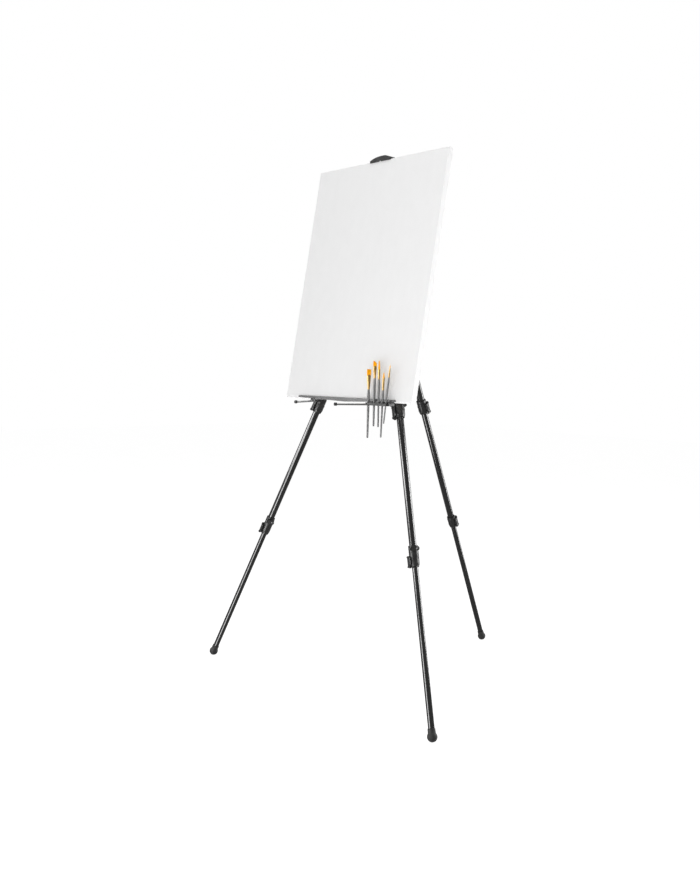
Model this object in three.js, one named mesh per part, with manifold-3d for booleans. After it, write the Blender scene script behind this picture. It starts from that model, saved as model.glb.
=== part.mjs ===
// A black aluminium tripod easel: three telescopic legs on a hub, a mast with a sprung top
// jaw, two pull-out canvas supports, a ledge with a brush holder, a stretched canvas and
// five brushes.  Millimetres, +Z up, the canvas faces -Y.
import * as THREE from 'three';
import { mergeVertices } from 'three/addons/utils/BufferGeometryUtils.js';
import Module from 'manifold-3d';

// ---- driving dimensions -------------------------------------------------------------
// Stance
const footReach = 603.4;          // from the hub's axis to the middle of each foot
const pivotReach = 35;            // from the hub's axis to each leg's pivot
const pivotHeight = 1342;         // the pivots above the floor
const footRadius = 15;
const footFlat = 5.4;             // radius of the worn flat under each foot
const toUpperClamp = 467.5;       // pivot to the middle of the upper clamp, along the leg
const toKneeClamp = 928;          // pivot to the middle of the knee clamp

// Tubes: outside radius and wall
const upperTube = { r: 13, wall: 1.2 };
const middleTube = { r: 11.25, wall: 1.05 };
const lowerTube = { r: 9.5, wall: 1 };
const mastTube = { r: 11.25, wall: 1.2 };
const mastRod = { r: 8, wall: 1 };
const tubeOverlap = 60;           // how far each inner tube runs up inside the outer one
const gap = 0.3;                  // between pieces that touch

// Clamps
const upperClampHeight = 38;
const frontKneeHeight = 64;
const rearKneeHeight = 42;
const mastClampHeight = 38;
const upperLever = { height: 36, middle: 0 };
const frontKneeLever = { height: 32, middle: -16 };
const rearKneeLever = { height: 32, middle: -2 };
const mastLever = { height: 32, middle: 0 };
const leverSweep = 100;           // degrees of the sleeve that a lever covers
const earHeight = 11;

// Hub
const bossRadius = 19;
const hubHeight = 44;
const tongueWidth = 14;
const cheekThickness = 5;
const pinRadius = 4;

// Canvas
const canvasWidth = 585;
const canvasHeight = 800;
const canvasDepth = 20;
const clothThickness = 0.8;
const stretcherWidth = 38;
const canvasLean = THREE.MathUtils.degToRad(10.3);
const canvasFoot = { y: -168, z: 945.3 };   // the front bottom edge

// Canvas supports, on the two front legs
const supportTurn = THREE.MathUtils.degToRad(24.5); // turned in from straight ahead
const supportHeight = 936.2;      // the supports' axes above the floor
const supportBoss = { r: 8, out: 27 };       // distances out are from the leg's axis
const supportSocket = { r: 5.2, from: 19, out: 58 };
const supportRod = { r: 3.25, from: 24, out: 213 };
const supportCapRadius = 5.2;
const supportCollar = { r: 17, height: 12 };

// Ledge: a fish-bellied lip in front of the canvas, with the brush holder at its right
const ledge = { half: 226, top: 7, endFoot: 1.3, belly: -5.9, thickness: 3, stand: 0.4 };
const holder = { left: 120, right: 225, depth: 34, bottom: 933.6, top: 941.5, rib: 946 };
const holeRow = 16.9;             // the brush holes in front of the holder's back edge
const holeRadius = 5.4;

// Brushes: where each stands along the holder, its lean, and its sizes
const brushes = [
  { x: 129.3, lean: 0.3, top: 1046, bottom: 830, ferrule: 62, bristle: 19, r: 4.4, tip: 12 },
  { x: 154.6, lean: 0.3, top: 1073.5, bottom: 868, ferrule: 54, bristle: 18, r: 4.3, tip: 10 },
  { x: 173.7, lean: -0.2, top: 1073.5, bottom: 866.5, ferrule: 58, bristle: 30, r: 3.8, tip: 6.4 },
  { x: 190.4, lean: 2.2, top: 1036.7, bottom: 834.7, ferrule: 54, bristle: 16, r: 3.6, tip: 5.8 },
  { x: 204.9, lean: 7.2, top: 1065, bottom: 878, ferrule: 42, bristle: 14, r: 3.2, tip: 3 },
];

// Mast and top jaw
const mastTubeTop = 1402;
const mastRodTop = 1640;
const jaw = { half: 46, rise: 14, thickness: 2.6, lip: 4 };

// ---- worked-out places --------------------------------------------------------------
const radians = THREE.MathUtils.degToRad;
const footBallHeight = Math.sqrt(footRadius ** 2 - footFlat ** 2);
const legRun = footReach - pivotReach;
const legRise = pivotHeight - footBallHeight;
const legLength = Math.hypot(legRun, legRise);
const legAngle = Math.atan2(legRun, legRise);
// The origin is under the middle of the bounding box, so the hub stands forward of it.
const frontReach = footReach / 2 + footRadius;
const axisY = -(footReach + footRadius - frontReach) / 2;

// Lever and lug directions are turned from each leg's outward side, in degrees.
const legs = [
  { name: 'left', azimuth: 210, upperLever: 15, kneeLever: 15, boltSide: 105, front: true },
  { name: 'right', azimuth: 330, upperLever: -105, kneeLever: -105, boltSide: -15, front: true },
  { name: 'rear', azimuth: 90, upperLever: -45, kneeLever: -45, front: false },
];

// ---- materials ----------------------------------------------------------------------
const finish = (color, roughness, metalness) =>
  new THREE.MeshStandardMaterial({ color, roughness, metalness });
const anodised = finish(0x131315, 0.28, 0.85);
const plastic = finish(0x26272a, 0.5, 0);
const rubber = finish(0x1c1c1e, 0.75, 0);
const steel = finish(0xb9bcc0, 0.25, 1);
const cloth = finish(0xf0f0ee, 0.85, 0);
const pine = finish(0xd8b98a, 0.7, 0);
const lacquer = finish(0x3a3a3d, 0.4, 0);

// ---- building helpers ---------------------------------------------------------------
const wasm = await Module();
wasm.setup();

// A closed three.js geometry as a solid with its faces pointing out.
function solid(geometry) {
  const bare = geometry.clone();
  bare.deleteAttribute('normal');
  bare.deleteAttribute('uv');
  const merged = mergeVertices(bare, 1e-4);
  const points = merged.attributes.position.array;
  const corners = [];
  let volume = 0;
  for (let i = 0; i < merged.index.count; i += 3) {
    const [a, b, c] = merged.index.array.slice(i, i + 3);
    if (a === b || b === c || c === a) continue;
    corners.push(a, b, c);
    const [p, q, r] = [a, b, c].map((k) => new THREE.Vector3().fromArray(points, 3 * k));
    volume += p.dot(q.cross(r));
  }
  if (volume < 0) corners.reverse();
  const mesh = { numProp: 3, vertProperties: new Float32Array(points) };
  return new wasm.Manifold(new wasm.Mesh({ ...mesh, triVerts: new Uint32Array(corners) }));
}

function geometryOf(body) {
  const mesh = body.getMesh();
  const geometry = new THREE.BufferGeometry();
  geometry.setAttribute('position', new THREE.BufferAttribute(mesh.vertProperties, 3));
  geometry.setIndex(new THREE.BufferAttribute(mesh.triVerts, 1));
  geometry.computeVertexNormals();
  return geometry;
}

// Adds a body to a group as a named piece, and returns the mesh.
function piece(name, body, material, parent) {
  const mesh = new THREE.Mesh(geometryOf(body), material);
  mesh.name = name;
  parent.add(mesh);
  return mesh;
}

// A turned body about Z from [radius, z] points, closed by itself or on the axis.
function turnedGeometry(profile, segments = 20) {
  const points = profile.map(([r, z]) => new THREE.Vector2(r, z));
  return new THREE.LatheGeometry(points, segments).rotateX(Math.PI / 2);
}

const ringProfile = (outer, inner, low, high) =>
  [[inner, low], [outer, low], [outer, high], [inner, high], [inner, low]];

const ring = (outer, inner, low, high, segments = 20) =>
  solid(turnedGeometry(ringProfile(outer, inner, low, high), segments));

const barProfile = (r, low, high) => [[0, low], [r, low], [r, high], [0, high]];

const bar = (r, low, high, segments = 20) =>
  solid(turnedGeometry(barProfile(r, low, high), segments));

// A round bar along X or Y, centred on a point.
function crossBar(axis, r, from, to, centre = [0, 0, 0], segments = 12) {
  const geometry = turnedGeometry(barProfile(r, from, to), segments);
  if (axis === 'x') geometry.rotateY(Math.PI / 2);
  else geometry.rotateX(-Math.PI / 2);
  return solid(geometry.translate(...centre));
}

function box([x0, x1], [y0, y1], [z0, z1]) {
  const geometry = new THREE.BoxGeometry(x1 - x0, y1 - y0, z1 - z0);
  return solid(geometry.translate((x0 + x1) / 2, (y0 + y1) / 2, (z0 + z1) / 2));
}

// An outline in X and Y, extruded along Z from low to high.
function plateGeometry(shape, low, high, curveSegments = 12) {
  const options = { depth: high - low, bevelEnabled: false, curveSegments };
  return new THREE.ExtrudeGeometry(shape, options).translate(0, 0, low);
}

// An outline whose Y is the model's Z, extruded along Y from low to high.
function uprightPlate(shape, low, high, curveSegments = 12) {
  return plateGeometry(shape, -high, -low, curveSegments).rotateX(Math.PI / 2);
}

function outline(points) {
  return new THREE.Shape(points.map(([x, y]) => new THREE.Vector2(x, y)));
}

function group(parent, { x = 0, y = 0, z = 0, tilt = 0, turn = 0 } = {}) {
  const made = new THREE.Group();
  made.position.set(x, y, z);
  made.rotation.set(0, tilt, turn, 'ZYX');
  parent.add(made);
  return made;
}

const easel = new THREE.Group();
const frame = group(easel, { y: axisY });

// ---- hub ----------------------------------------------------------------------------
function hubBody() {
  const half = hubHeight / 2;
  let body = bar(bossRadius, -half, half, 32);
  const cheek = new THREE.Shape();
  cheek.moveTo(8, -11);
  cheek.lineTo(pivotReach, -11);
  cheek.absarc(pivotReach, 0, 11, -Math.PI / 2, Math.PI / 2, false);
  cheek.lineTo(8, 11);
  const inner = tongueWidth / 2 + gap;
  for (const leg of legs) {
    for (const side of [-1, 1]) {
      const from = side > 0 ? inner : -inner - cheekThickness;
      const plate = uprightPlate(cheek, from, from + cheekThickness, 8);
      body = body.add(solid(plate.rotateZ(radians(leg.azimuth))));
    }
  }
  for (const leg of legs) {
    const hole = turnedGeometry(barProfile(pinRadius + gap, -40, 40), 16);
    hole.rotateX(-Math.PI / 2).translate(pivotReach, 0, 0).rotateZ(radians(leg.azimuth));
    body = body.subtract(solid(hole));
  }
  return body.subtract(bar(mastTube.r + gap, -half - 1, half + 1));
}

function hub() {
  const centre = group(frame, { z: pivotHeight });
  piece('hub_body', hubBody(), plastic, centre);
  const capLow = hubHeight / 2 + gap;
  const cap = [[mastTube.r + gap, capLow], [bossRadius, capLow], [bossRadius, capLow + 2],
    [bossRadius - 4, capLow + 6], [mastTube.r + gap, capLow + 6], [mastTube.r + gap, capLow]];
  piece('hub_cap', solid(turnedGeometry(cap, 32)), plastic, centre);
  const headHalf = tongueWidth / 2 + gap + cheekThickness + gap;
  const pin = [[0, -headHalf - 3], [6, -headHalf - 3], [6.5, -headHalf - 2], [6.5, -headHalf],
    [pinRadius, -headHalf], [pinRadius, headHalf], [6.5, headHalf], [6.5, headHalf + 2],
    [6, headHalf + 3], [0, headHalf + 3]];
  for (const leg of legs) {
    const geometry = turnedGeometry(pin, 16).rotateX(-Math.PI / 2);
    const mount = group(centre, { turn: radians(leg.azimuth) });
    piece(`${leg.name}_leg_pivot_pin`, solid(geometry), steel, mount).position.x = pivotReach;
  }
}

// ---- clamps and levers --------------------------------------------------------------
// A lever turns on a pin that lies along the tube, beside the sleeve.  The sleeve's ear
// stands between the lever's two knuckles.
const leverOut = 6;               // pin axis beyond the sleeve
const leverStart = -leverSweep / 2;
const knuckleRadius = 3.6;
const leverPinRadius = 2;

function leverPin(sleeve) {
  const reach = sleeve + leverOut;
  return [reach * Math.cos(radians(leverStart)), reach * Math.sin(radians(leverStart))];
}

// The arm and eye that reach from the sleeve to the pin, grown by a clearance.
function ear(sleeve, middle, clearance) {
  const half = earHeight / 2 + clearance;
  const [low, high] = [middle - half, middle + half];
  const [pinX, pinY] = leverPin(sleeve);
  const width = 2 * (knuckleRadius + clearance);
  const arm = new THREE.BoxGeometry(leverOut + 3, width, high - low);
  arm.translate(sleeve - 3 + (leverOut + 3) / 2, 0, middle).rotateZ(radians(leverStart));
  const eye = turnedGeometry(barProfile(knuckleRadius + clearance, low, high), 12);
  return solid(arm).add(solid(eye.translate(pinX, pinY, 0)));
}

function lever(sleeve, { height, middle }) {
  const inner = sleeve + 4.6;
  const outer = sleeve + 8;
  const [start, end] = [radians(leverStart), radians(-leverStart)];
  const shape = new THREE.Shape();
  shape.absarc(0, 0, outer, start, end, false);
  const [endX, endY] = [Math.cos(end) * (inner + outer) / 2, Math.sin(end) * (inner + outer) / 2];
  shape.absarc(endX, endY, (outer - inner) / 2, end, end + Math.PI, false);
  shape.absarc(0, 0, inner, end, start, true);
  const [low, high] = [middle - height / 2, middle + height / 2];
  const [pinX, pinY] = leverPin(sleeve);
  const knuckles = turnedGeometry(barProfile(knuckleRadius, low, high), 12);
  const pin = turnedGeometry(barProfile(leverPinRadius, low, high), 10);
  return solid(plateGeometry(shape, low, high, 7)).add(solid(knuckles.translate(pinX, pinY, 0)))
    .subtract(ear(sleeve, middle, 0.4)).add(solid(pin.translate(pinX, pinY, 0)));
}

// The sleeve has a wide bore above the step and a narrow one below it, tapers at its foot,
// and has one ear for the lever.
function clamp(sleeve, height, wide, narrow, leverMiddle) {
  const half = height / 2;
  const step = -2 - gap;
  const chamfer = 1.2;
  const foot = sleeve - 2;
  const body = solid(turnedGeometry([[narrow, -half], [foot - chamfer, -half],
    [foot, -half + chamfer], [sleeve, -half + 9], [sleeve, half - chamfer],
    [sleeve - chamfer, half], [wide, half], [wide, step], [narrow, step], [narrow, -half]]));
  const [pinX, pinY] = leverPin(sleeve);
  const hole = turnedGeometry(barProfile(leverPinRadius + gap, -half, half), 10);
  const bore = solid(turnedGeometry(barProfile(wide, -half, half)));
  return body.add(ear(sleeve, leverMiddle, 0).subtract(bore))
    .subtract(solid(hole.translate(pinX, pinY, 0)));
}

// The two front knees carry a cross bolt in a lug above the lever.
const boltOut = 5;
const boltRadius = 2.6;

function kneeLug(sleeve, turn) {
  const lug = new THREE.BoxGeometry(14, 16, 14).translate(sleeve + 1, 0, 20);
  const hole = turnedGeometry(barProfile(boltRadius + gap, -20, 20), 12);
  hole.rotateX(-Math.PI / 2).translate(sleeve + boltOut, 0, 20);
  return solid(lug.rotateZ(turn)).subtract(solid(hole.rotateZ(turn)));
}

function kneeBolt(sleeve) {
  const near = 8 + gap;
  const bolt = turnedGeometry([[0, -near - 4.5], [3, -near - 4.2], [4.6, -near - 2.4],
    [5, -near], [boltRadius, -near], [boltRadius, near], [4.4, near], [6, near + 2.5],
    [6, near + 6], [4.2, near + 8.6], [0, near + 9.6]], 16);
  return solid(bolt.rotateX(-Math.PI / 2).translate(sleeve + boltOut, 0, 20));
}

// ---- legs ---------------------------------------------------------------------------
function legHead() {
  const tubeTop = -17;
  const tongue = new THREE.Shape();
  tongue.absarc(0, 0, 12, 0, Math.PI, false);
  tongue.lineTo(-12, tubeTop + gap);
  tongue.lineTo(12, tubeTop + gap);
  const half = tongueWidth / 2;
  const plugRadius = upperTube.r - upperTube.wall - gap;
  const body = solid(uprightPlate(tongue, -half, half)).add(bar(plugRadius, -48, tubeTop + 1));
  return body.subtract(crossBar('y', pinRadius + gap, -half - 1, half + 1));
}

function foot() {
  const tubeEnd = lowerTube.r + gap;
  const collarTop = 23;
  const profile = [[0, -footRadius]];
  const steps = 6;
  const collar = Math.asin(11.8 / footRadius);
  for (let i = 1; i <= steps; i++) {
    const angle = -Math.PI / 2 + (Math.PI - collar) * i / steps;
    profile.push([footRadius * Math.cos(angle), footRadius * Math.sin(angle)]);
  }
  profile.push([11.4, collarTop - 1], [10.9, collarTop], [tubeEnd, collarTop], [tubeEnd, -2],
    [0, -2]);
  return turnedGeometry(profile);
}

function buildLeg(leg) {
  const turned = group(frame, { z: pivotHeight, turn: radians(leg.azimuth) });
  const limb = group(turned, { x: pivotReach, tilt: -legAngle });
  const name = (part) => `${leg.name}_leg_${part}`;
  const kneeHeight = leg.front ? frontKneeHeight : rearKneeHeight;
  const ends = [[upperTube, -17, -toUpperClamp - 2, 'upper_tube'],
    [middleTube, -toUpperClamp + tubeOverlap, -toKneeClamp - 2, 'middle_tube'],
    [lowerTube, -toKneeClamp + tubeOverlap, -legLength - 1.5, 'lower_tube']];
  piece(name('head'), legHead(), plastic, limb);
  for (const [size, high, low, part] of ends) {
    piece(name(part), ring(size.r, size.r - size.wall, low, high), anodised, limb);
  }

  const upperSleeve = upperTube.r + 4;
  const upper = group(limb, { z: -toUpperClamp, turn: radians(leg.upperLever) });
  const upperBores = [upperTube.r + gap, middleTube.r + gap];
  let upperBody = clamp(upperSleeve, upperClampHeight, ...upperBores, 0);
  if (!leg.front) {
    // A collar stands here in place of the front legs' brackets.
    const top = upperClampHeight / 2;
    upperBody = upperBody.add(ring(upperSleeve, upperBores[0], top - 2,
      top + supportCollar.height));
  }
  piece(name('upper_clamp'), upperBody, plastic, upper);
  piece(name('upper_lever'), lever(upperSleeve, upperLever), plastic, upper);

  const kneeSleeve = middleTube.r + 3.6;
  const kneeLever = leg.front ? frontKneeLever : rearKneeLever;
  const knee = group(limb, { z: -toKneeClamp, turn: radians(leg.kneeLever) });
  const kneeBores = [middleTube.r + gap, lowerTube.r + gap];
  let kneeBody = clamp(kneeSleeve, kneeHeight, ...kneeBores, kneeLever.middle);
  if (leg.front) {
    const lugTurn = radians(leg.boltSide - leg.kneeLever);
    kneeBody = kneeBody.add(kneeLug(kneeSleeve, lugTurn));
    kneeBody = kneeBody.subtract(bar(middleTube.r + gap, 0, frontKneeHeight));
    const bolt = piece(name('knee_bolt'), kneeBolt(kneeSleeve), steel, knee);
    bolt.rotation.z = lugTurn;
  }
  piece(name('knee_clamp'), kneeBody, plastic, knee);
  piece(name('knee_lever'), lever(kneeSleeve, kneeLever), plastic, knee);

  // The foot's flat is level, so it is cut in the stance that the leg has.
  const floor = new THREE.BoxGeometry(80, 80, 40).translate(0, 0, -footBallHeight - 20);
  const footBody = solid(foot()).subtract(solid(floor.rotateY(legAngle)));
  piece(name('foot'), footBody, rubber, limb).position.z = -legLength;
}

// ---- mast and top jaw ---------------------------------------------------------------
const canvasTop = {
  y: canvasFoot.y + canvasHeight * Math.sin(canvasLean),
  z: canvasFoot.z + canvasHeight * Math.cos(canvasLean),
};

function topHolder() {
  const stemBack = 9;
  const stemFront = -1;
  const sleeveLow = mastRodTop - 34;
  const sleeve = ring(mastRod.r + 3, mastRod.r + gap, sleeveLow, mastRodTop);
  const stem = box([-13, 13], [stemFront, stemBack], [mastRodTop - 12, canvasTop.z - 6]);
  const cover = bar(mastRod.r + 3, mastRodTop - 1, mastRodTop + 3);
  const slot = box([-8, 8], [1.5, 6.5], [mastRodTop + 5, canvasTop.z]);
  const front = box([-30, 30], [-40, stemFront], [mastRodTop - 0.5, canvasTop.z + 20]);
  const bore = bar(mastRod.r + gap, sleeveLow - 1, mastRodTop);
  return sleeve.add(cover).add(stem).subtract(bore).subtract(slot).subtract(front);
}

// The jaw's arch spans the canvas's top edge, with a lip down its face and a tongue that
// slides in the holder's slot.
function topJaw() {
  const low = canvasTop.z + 0.6;
  const arch = new THREE.Shape();
  arch.moveTo(-jaw.half, low - jaw.lip);
  arch.lineTo(-jaw.half, low + 3);
  arch.quadraticCurveTo(-jaw.half * 0.4, low + jaw.rise + 2, jaw.half * 0.55, low + jaw.rise - 1);
  arch.lineTo(jaw.half + 4, low + 4);
  arch.lineTo(jaw.half, low - jaw.lip);
  const lipBack = canvasTop.y - 1.1;
  const front = lipBack - jaw.thickness;
  const back = 8;
  const tunnel = box([-jaw.half - 9, jaw.half + 9], [lipBack, back + 1], [low - 20, low]);
  const notch = box([-5, 5], [front - 1, lipBack + 1], [low - 9, low - 0.6]);
  const hollow = box([-jaw.half + 4, jaw.half - 5], [front + 4, back - 2.5], [low - 1, low + 3.5]);
  const tongue = box([-7.7, 7.7], [1.8, 6.2], [low - 34, low + 1]);
  return solid(uprightPlate(arch, front, back, 8)).subtract(tunnel).subtract(notch)
    .subtract(hollow).add(box([-10, 10], [0, back], [low + 0.5, low + 5])).add(tongue);
}

function mast() {
  piece('mast_tube', ring(mastTube.r, mastTube.r - mastTube.wall, pivotHeight - 60, mastTubeTop),
    anodised, frame);
  piece('mast_rod', ring(mastRod.r, mastRod.r - mastRod.wall, pivotHeight - 20,
    mastRodTop - gap), anodised, frame);
  // The mast narrows upwards, so its clamp is a leg's knee clamp turned upside down.
  const lock = group(frame, { z: mastTubeTop - 2, turn: radians(60) });
  lock.rotation.x = Math.PI;
  const sleeve = mastTube.r + 3.6;
  const bores = [mastTube.r + gap, mastRod.r + gap];
  piece('mast_clamp', clamp(sleeve, mastClampHeight, ...bores, mastLever.middle), plastic, lock);
  piece('mast_lever', lever(sleeve, mastLever), plastic, lock);
  piece('top_holder', topHolder(), plastic, frame);
  piece('top_jaw', topJaw(), plastic, frame);
}

// ---- canvas supports ----------------------------------------------------------------
// A support's own frame: origin on the leg's axis, X out along the rod, and Z up the leg.
function supportFrame(leg) {
  const outward = new THREE.Vector3(Math.cos(radians(leg.azimuth)), Math.sin(radians(leg.azimuth)), 0);
  const side = Math.sign(outward.x);
  const along = new THREE.Vector3(-side * Math.sin(supportTurn), -Math.cos(supportTurn), 0);
  const reach = pivotReach + (pivotHeight - supportHeight) * Math.tan(legAngle);
  const origin = outward.clone().multiplyScalar(reach);
  origin.z = supportHeight;
  const downLeg = outward.clone().multiplyScalar(Math.sin(legAngle));
  downLeg.z = -Math.cos(legAngle);
  const across = along.clone().cross(downLeg).normalize();
  const up = along.clone().cross(across);
  return new THREE.Matrix4().makeBasis(along, across, up).setPosition(origin);
}

function limbFrame(leg) {
  return new THREE.Matrix4().makeRotationZ(radians(leg.azimuth))
    .multiply(new THREE.Matrix4().makeTranslation(pivotReach, 0, pivotHeight))
    .multiply(new THREE.Matrix4().makeRotationY(-legAngle));
}

function supportBracket(leg, place) {
  const half = supportCollar.height / 2;
  const collar = turnedGeometry(barProfile(supportCollar.r, -half, half));
  const tube = turnedGeometry(barProfile(upperTube.r + gap, -500, -380));
  tube.applyMatrix4(limbFrame(leg)).applyMatrix4(place.clone().invert());
  const lug = box([-24, -10], [-8, 8], [-half, half]);
  const split = box([-30, 0], [-1.5, 1.5], [-half - 1, half + 1]);
  return solid(collar).add(crossBar('x', supportBoss.r, 8, supportBoss.out)).add(lug)
    .subtract(box([-60, 60], [-30, 30], [-30, -half])).subtract(split).subtract(solid(tube))
    .subtract(crossBar('x', supportSocket.r + gap, supportSocket.from - gap, 60));
}

function supportSocketBody() {
  const { r, from, out } = supportSocket;
  return crossBar('x', r, from, out, [0, 0, 0], 20)
    .subtract(crossBar('x', supportRod.r + gap, supportRod.from - gap, out + 1));
}

function canvasSupport(leg) {
  const mount = new THREE.Group();
  const place = supportFrame(leg);
  mount.applyMatrix4(place);
  frame.add(mount);
  const name = (part) => `${leg.name}_support_${part}`;
  piece(name('bracket'), supportBracket(leg, place), plastic, mount);
  piece(name('socket'), supportSocketBody(), plastic, mount);
  piece(name('rod'), crossBar('x', supportRod.r, supportRod.from, supportRod.out), steel, mount);
  const capIn = supportRod.r + gap;
  const [end, outer] = [supportRod.out, supportCapRadius];
  const cap = turnedGeometry([[0, end + gap], [capIn, end + gap], [capIn, end - 6],
    [outer - 0.6, end - 6], [outer, end - 5.4], [outer, end + 1.8], [outer - 1.4, end + 3],
    [0, end + 3]], 20);
  piece(name('cap'), solid(cap.rotateY(Math.PI / 2)), rubber, mount);
}

// ---- ledge and brush holder ---------------------------------------------------------
// Places by the canvas's face: up is the distance up the face, out the distance before it.
const facePoint = (up, out) => ({
  y: canvasFoot.y + up * Math.sin(canvasLean) - out * Math.cos(canvasLean),
  z: canvasFoot.z + up * Math.cos(canvasLean) + out * Math.sin(canvasLean),
});

// The room round a support rod: a groove with its open side down.
function rodGroove(leg, clearance) {
  const r = supportRod.r + clearance;
  const groove = crossBar('x', r, 40, supportRod.out, [0, 0, 0], 20);
  const [x, y, z] = new THREE.Vector3().setFromMatrixPosition(supportFrame(leg)).toArray();
  const turn = new THREE.Euler().setFromRotationMatrix(supportFrame(leg), 'ZYX');
  const geometry = geometryOf(groove).rotateX(turn.x).rotateY(turn.y).rotateZ(turn.z);
  const round = solid(geometry.translate(x, y, z));
  const open = new THREE.BoxGeometry(supportRod.out, 2 * r, 40);
  open.translate(supportRod.out / 2 + 40, 0, -20).rotateZ(turn.z);
  return round.add(solid(open.translate(x, y, z)));
}

function ledgeRail() {
  const lip = outline([[-ledge.half, ledge.endFoot], [0, ledge.belly],
    [ledge.half, ledge.endFoot], [ledge.half, ledge.top - 1], [ledge.half - 2, ledge.top],
    [-ledge.half + 2, ledge.top], [-ledge.half, ledge.top - 1]]);
  const geometry = uprightPlate(lip, -ledge.stand - ledge.thickness, -ledge.stand);
  geometry.rotateX(-canvasLean).translate(0, canvasFoot.y, canvasFoot.z);
  let body = solid(geometry);
  const front = canvasFoot.y - ledge.stand - ledge.thickness + 0.3;
  for (const leg of legs.filter((one) => one.front)) {
    const root = new THREE.Vector3().setFromMatrixPosition(supportFrame(leg));
    const inward = Math.abs(front - root.y) * Math.tan(supportTurn);
    const x = Math.sign(root.x) * (Math.abs(root.x) - inward);
    // The left saddle stands forward of the lip; the brush holder does its work on the right.
    const forward = leg.name === 'left' ? 5 : 0;
    const saddle = box([x - 7, x + 7], [front - forward, front + 2.4],
      [supportHeight - 1, canvasFoot.z + 1]);
    body = body.add(saddle).subtract(rodGroove(leg, gap));
  }
  return body;
}

const holderBack = facePoint(0, ledge.stand + ledge.thickness + gap).y - 0.7;

// A plate with round holes, stiffened by a rib and grooved under for the right-hand rod.
function brushHolder() {
  const front = holderBack - holder.depth;
  const [left, right] = [holder.left, holder.right];
  const [wide, tight] = [22, 10];
  const shape = new THREE.Shape();
  shape.moveTo(left, holderBack);
  shape.lineTo(left, front + wide);
  shape.absarc(left + wide, front + wide, wide, Math.PI, Math.PI * 1.5, false);
  shape.lineTo(right - tight, front);
  shape.absarc(right - tight, front + tight, tight, -Math.PI / 2, 0, false);
  shape.lineTo(right, holderBack);
  for (const { x } of brushes) {
    const hole = new THREE.Path();
    hole.absarc(x, holderBack - holeRow, holeRadius, 0, Math.PI * 2, true);
    shape.holes.push(hole);
  }
  const rib = box([left, right], [holderBack - 4, holderBack], [holder.top - 1, holder.rib]);
  const rightLeg = legs.find((leg) => leg.name === 'right');
  return solid(plateGeometry(shape, holder.bottom, holder.top, 6)).add(rib)
    .subtract(rodGroove(rightLeg, gap));
}

// ---- brushes ------------------------------------------------------------------------
// A plain closed form: bristles, ferrule and a handle that is thickest above the holder.
function brush({ r, tip, ferrule, bristle }, low, high) {
  const handle = high - ferrule - low;
  return solid(turnedGeometry([[0, low], [1.6, low + 0.6], [r * 0.6, low + 3],
    [r * 0.85, low + handle * 0.35], [r, low + handle * 0.8], [r * 0.8, high - ferrule],
    [r * 0.85, high - bristle - 12], [tip / 2, high - bristle], [tip * 0.55, high - bristle * 0.5],
    [tip * 0.3, high - 0.8], [0, high]], 10));
}

function brushSet() {
  const level = (holder.bottom + holder.top) / 2;
  brushes.forEach((one, index) => {
    const body = brush(one, one.bottom - level, one.top - level);
    const mesh = piece(`brush_${index + 1}`, body, lacquer, frame);
    mesh.position.set(one.x, holderBack - holeRow, level);
    mesh.rotation.y = radians(one.lean);
  });
}

// ---- canvas -------------------------------------------------------------------------
// Its own frame: X across, Y into the depth, Z up the face, from the front bottom edge.
function canvas() {
  const mount = new THREE.Group();
  mount.position.set(0, canvasFoot.y, canvasFoot.z);
  mount.rotation.x = -canvasLean;
  frame.add(mount);
  const half = canvasWidth / 2;
  const face = box([-half, half], [0, clothThickness], [0, canvasHeight]);
  piece('canvas_cloth', face, cloth, mount);

  const inset = clothThickness;
  const front = clothThickness + gap;
  const [right, top] = [half - inset, canvasHeight - inset];
  const [left, low] = [-right, inset];
  const w = stretcherWidth;
  const mitre = gap;
  const bars = {
    bottom: [[left + mitre, low], [right - mitre, low], [right - w - mitre, low + w],
      [left + w + mitre, low + w]],
    top: [[left + mitre, top], [left + w + mitre, top - w], [right - w - mitre, top - w],
      [right - mitre, top]],
    left: [[left, low + mitre], [left + w, low + w + mitre], [left + w, top - w - mitre],
      [left, top - mitre]],
    right: [[right, low + mitre], [right, top - mitre], [right - w, top - w - mitre],
      [right - w, low + w + mitre]],
  };
  for (const [name, points] of Object.entries(bars)) {
    const geometry = uprightPlate(outline(points), front, canvasDepth - 0.4);
    piece(`stretcher_${name}`, solid(geometry), pine, mount);
  }
}

// ---- assembly -----------------------------------------------------------------------
hub();
legs.forEach(buildLeg);
mast();
legs.filter((leg) => leg.front).forEach(canvasSupport);
piece('ledge_rail', ledgeRail(), plastic, frame);
piece('brush_holder', brushHolder(), plastic, frame);
brushSet();
canvas();

export default easel;
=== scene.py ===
"""The looks of a folding tripod easel with a canvas and brushes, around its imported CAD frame.

Sizes are in millimetres and are turned into metres where a mesh is made.
"""

import math
import random

import bmesh
import bpy
from mathutils import Matrix, Vector


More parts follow.
